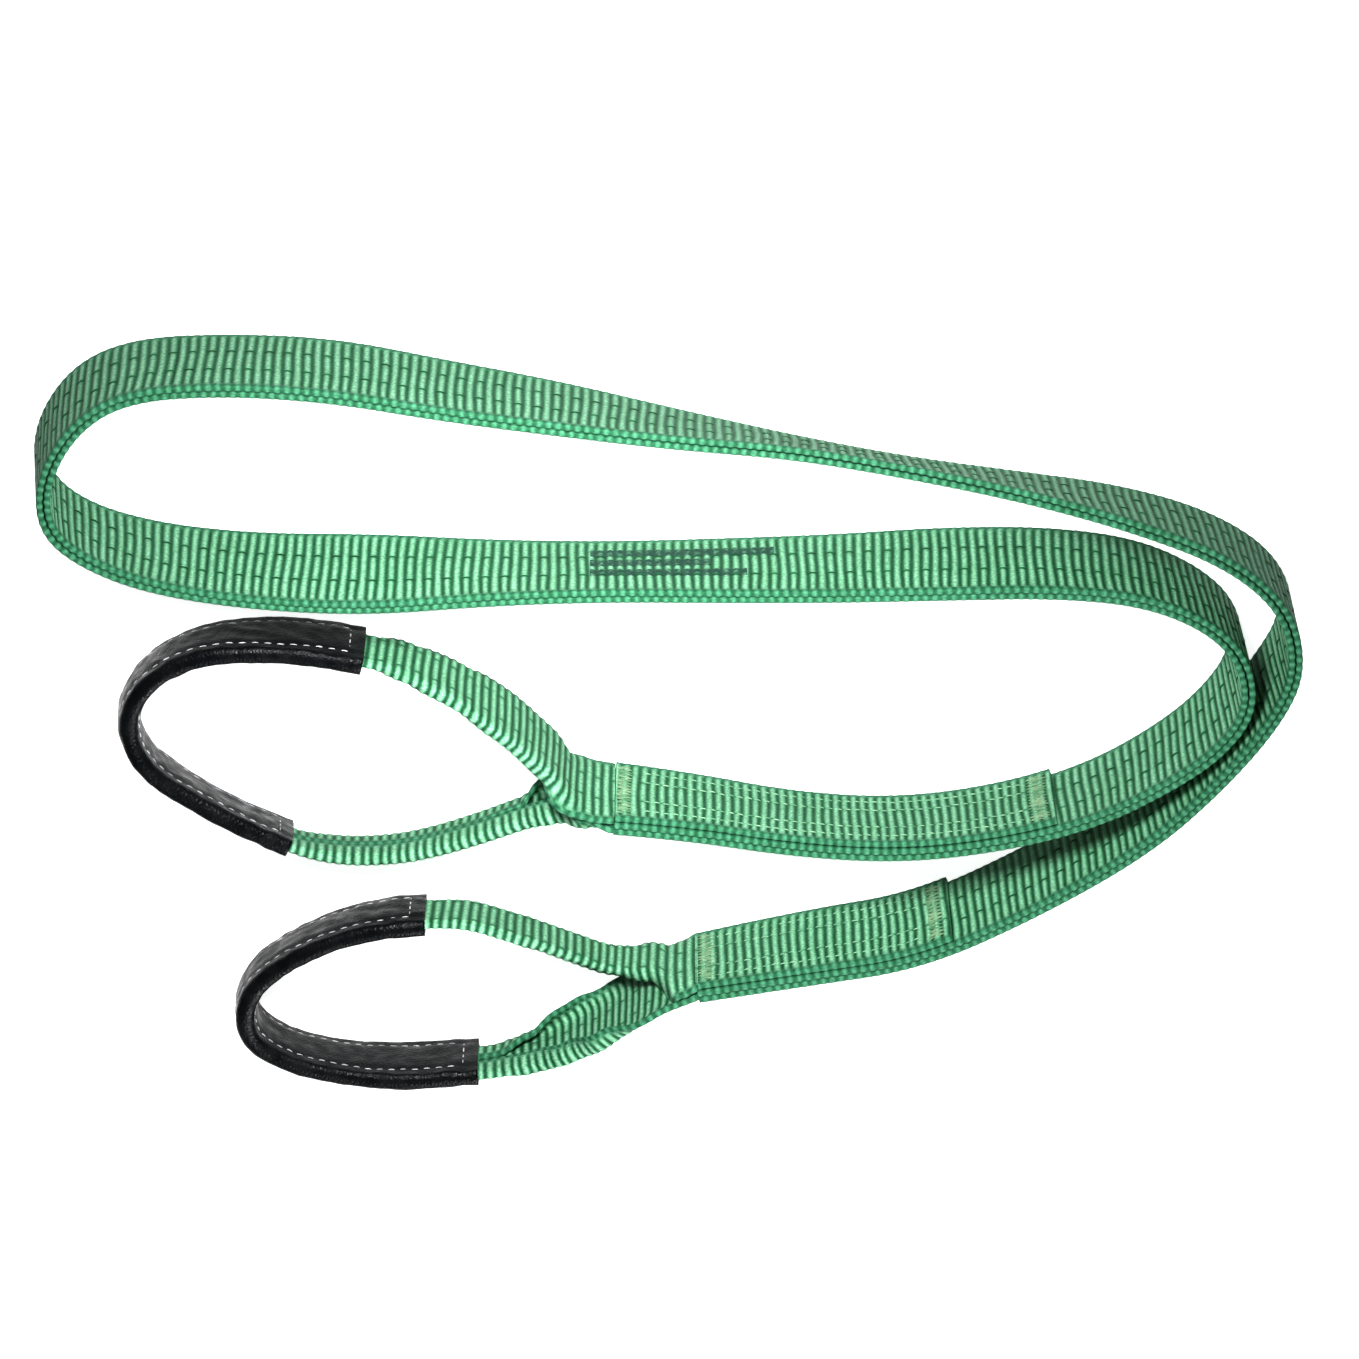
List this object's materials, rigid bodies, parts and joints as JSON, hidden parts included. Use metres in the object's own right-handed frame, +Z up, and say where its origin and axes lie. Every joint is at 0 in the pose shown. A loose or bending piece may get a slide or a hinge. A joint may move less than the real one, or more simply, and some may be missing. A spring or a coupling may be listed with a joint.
{
  "type": "flat web sling",
  "caption": "Two-ply flat web sling with a folded, sleeved eye at each end, standing on its edge in a loose fold.",
  "frame": {"origin": "on the floor under the middle of the sling's box, as it stands on its edge", "axes": "+Z up, across the webbing's width; X along the strands, with both eyes at -X and the two bends at +X; +Y towards the side of the long loop"},
  "size_m": [0.5005, 0.3489, 0.05],
  "materials": {
    "green_webbing": "ribbed polyester webbing, slight sheen",
    "sleeve_leather": "black synthetic leather, slightly glossy",
    "green_thread": "dark green sewing thread",
    "lap_thread": "pale sewing thread",
    "white_thread": "white sewing thread"
  },
  "bodies": {
    "main_body": {"upper_strand_inner_ply": "green_webbing", "upper_strand_outer_ply": "green_webbing", "left_bend_inner_ply": "green_webbing", "left_bend_outer_ply": "green_webbing", "mid_strand_inner_ply": "green_webbing", "mid_strand_outer_ply": "green_webbing", "inner_bend_inner_ply": "green_webbing", "inner_bend_outer_ply": "green_webbing", "eye_1_strand_inner_ply": "green_webbing", "eye_1_strand_outer_ply": "green_webbing", "lap_tail_1": "green_webbing", "long_seams_main": "green_thread", "throat_stitching_1": "lap_thread", "lap_stitching_1": "lap_thread", "end_tack_1": "lap_thread"},
    "free_strand": {"eye_2_strand_inner_ply": "green_webbing", "eye_2_strand_outer_ply": "green_webbing", "lap_tail_2": "green_webbing", "long_seams_free_strand": "green_thread", "throat_stitching_2": "lap_thread", "lap_stitching_2": "lap_thread", "end_tack_2": "lap_thread"},
    "eye_1": {"eye_1_upper_leg": "green_webbing", "eye_1_bight": "green_webbing", "eye_1_lower_leg": "green_webbing", "wear_sleeve_1": "sleeve_leather", "sleeve_stitching_1": "white_thread"},
    "eye_2": {"eye_2_upper_leg": "green_webbing", "eye_2_bight": "green_webbing", "eye_2_lower_leg": "green_webbing", "wear_sleeve_2": "sleeve_leather", "sleeve_stitching_2": "white_thread"}
  },
  "joints": [
    {"name": "outer_bend_open", "type": "hinge", "parent": "main_body", "child": "free_strand", "pos_m": [0.243, 0.0335, 0], "axis": [0, 0, 1], "range_deg": [0, 60]},
    {"name": "eye_1_swing", "type": "hinge", "parent": "main_body", "child": "eye_1", "pos_m": [-0.022, -0.0335, 0], "axis": [0, 0, 1], "range_deg": [-9, 4]},
    {"name": "eye_2_swing", "type": "hinge", "parent": "free_strand", "child": "eye_2", "pos_m": [0.0105, -0.1165, 0], "axis": [0, 0, 1], "range_deg": [-5, 35]}
  ]
}
